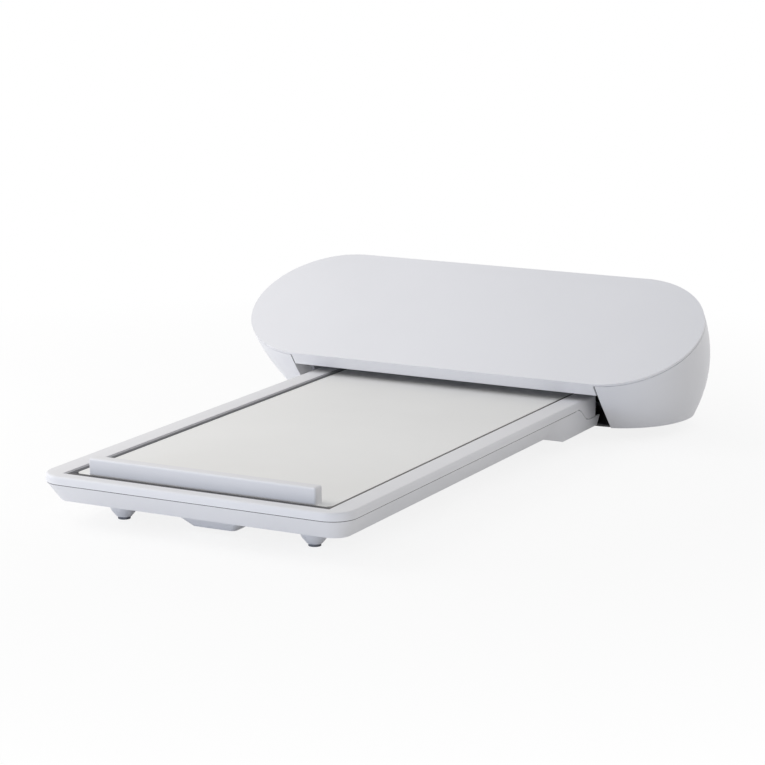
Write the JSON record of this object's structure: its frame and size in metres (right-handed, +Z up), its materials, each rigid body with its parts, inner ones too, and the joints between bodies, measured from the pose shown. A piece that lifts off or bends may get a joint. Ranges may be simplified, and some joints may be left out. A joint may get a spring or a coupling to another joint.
{
  "type": "flatbed die cutting machine",
  "caption": "Electronic craft cutter with a long flat bed, a sliding platen with a front bar, and a wide round-ended head whose sloping lid lifts over a cutting carriage.",
  "frame": {"origin": "middle of the overall box, on the table under the feet", "axes": "+X across the bed to the machine's right, +Y from the bed's front to the head's back, +Z up"},
  "size_m": [0.6008, 0.8084, 0.1757],
  "materials": {
    "shell_white": "satin moulded white plastic",
    "platen_white": "smooth white sheet, slightly glossy",
    "dark_plastic": "matt dark grey plastic",
    "guide_grey": "matt mid-grey plastic",
    "rubber_black": "matt black rubber",
    "steel": "plain sheet steel",
    "aluminium": "satin aluminium",
    "belt_rubber": "black belt rubber",
    "gear_plastic": "natural acetal plastic",
    "board_green": "green circuit board",
    "motor_black": "black painted motor can",
    "tool_grey": "grey moulded plastic",
    "brass_bush": "plain bronze bush",
    "jack_black": "black plastic",
    "button_grey": "grey plastic button"
  },
  "bodies": {
    "base": {"bed_top_cover": "shell_white", "bed_bottom_cover": "shell_white", "left_front_foot": "shell_white", "right_front_foot": "shell_white", "front_foot_pads": "rubber_black", "rear_feet": "rubber_black", "left_end_cover": "shell_white", "right_end_cover": "shell_white", "rear_cover": "shell_white", "hinge_pins": "steel", "chassis_base": "dark_plastic", "left_side_plate": "steel", "right_side_plate": "steel", "shaft_bushes": "brass_bush", "left_platen_guide": "guide_grey", "right_platen_guide": "guide_grey", "front_stop": "dark_plastic", "feed_motor": "motor_black", "feed_motor_bracket": "steel", "feed_belt": "belt_rubber", "carriage_rail": "aluminium", "carriage_motor": "motor_black", "motor_bracket": "steel", "idler_bracket": "steel", "carriage_belt": "belt_rubber", "port_panel": "dark_plastic", "power_jack": "jack_black", "data_port": "steel", "main_board": "board_green", "board_posts": "steel"},
    "lid": {"lid_panel": "shell_white"},
    "platen": {"platen_plate": "platen_white", "platen_frame": "dark_plastic", "platen_bar": "shell_white", "platen_racks": "gear_plastic"},
    "feed_shaft": {"feed_shaft": "steel", "feed_pinions": "gear_plastic", "feed_pulley": "gear_plastic"},
    "feed_motor_pulley": {"feed_motor_pulley": "gear_plastic"},
    "carriage": {"carriage_body": "dark_plastic", "belt_clamp": "tool_grey"},
    "left_tool": {"left_tool_holder": "tool_grey", "left_blade_cartridge": "aluminium"},
    "right_tool": {"right_tool_holder": "tool_grey", "right_blade_cartridge": "aluminium"},
    "drive_pulley": {"drive_pulley": "aluminium"},
    "idler_pulley": {"idler_pulley": "aluminium"},
    "power_button": {"power_button": "button_grey"}
  },
  "joints": [
    {"name": "lid_hinge", "type": "hinge", "parent": "base", "child": "lid", "pos_m": [0, 0.36399, 0.16935], "axis": [-1, 0, 0], "range_deg": [0, 75]},
    {"name": "platen_slide", "type": "slide", "parent": "base", "child": "platen", "axis": [0, 1, 0], "range_m": [0, 0.5]},
    {"name": "feed_shaft_spin", "type": "hinge", "parent": "base", "child": "feed_shaft", "pos_m": [0, 0.2785, 0.0305], "axis": [1, 0, 0], "range_deg": [-2730, 2]},
    {"name": "feed_motor_spin", "type": "hinge", "parent": "base", "child": "feed_motor_pulley", "pos_m": [0.191, 0.3525, 0.036], "axis": [1, 0, 0], "range_deg": [-4290, 3]},
    {"name": "carriage_slide", "type": "slide", "parent": "base", "child": "carriage", "axis": [1, 0, 0], "range_m": [-0.15, 0.15]},
    {"name": "left_tool_drop", "type": "slide", "parent": "carriage", "child": "left_tool", "axis": [0, 0, -1], "range_m": [0, 0.009], "stiffness_N_per_m": 200, "springref_m": -0.006},
    {"name": "right_tool_drop", "type": "slide", "parent": "carriage", "child": "right_tool", "axis": [0, 0, -1], "range_m": [0, 0.009], "stiffness_N_per_m": 200, "springref_m": -0.006},
    {"name": "drive_pulley_spin", "type": "hinge", "parent": "base", "child": "drive_pulley", "pos_m": [0.18, 0.3395, 0.1], "axis": [0, 1, 0], "range_deg": [-1076, 1076]},
    {"name": "idler_pulley_spin", "type": "hinge", "parent": "base", "child": "idler_pulley", "pos_m": [-0.18, 0.3395, 0.1], "axis": [0, 1, 0], "range_deg": [-1076, 1076]},
    {"name": "power_press", "type": "slide", "parent": "base", "child": "power_button", "axis": [0, -1, 0], "range_m": [0, 0.0015], "stiffness_N_per_m": 1000, "springref_m": -0.001}
  ],
  "couplings": [
    {"joint": "feed_shaft_spin", "follows": "platen_slide", "rad_per_m": -95.238},
    {"joint": "feed_motor_spin", "follows": "platen_slide", "rad_per_m": -149.66},
    {"joint": "drive_pulley_spin", "follows": "carriage_slide", "rad_per_m": 125},
    {"joint": "idler_pulley_spin", "follows": "carriage_slide", "rad_per_m": 125}
  ]
}
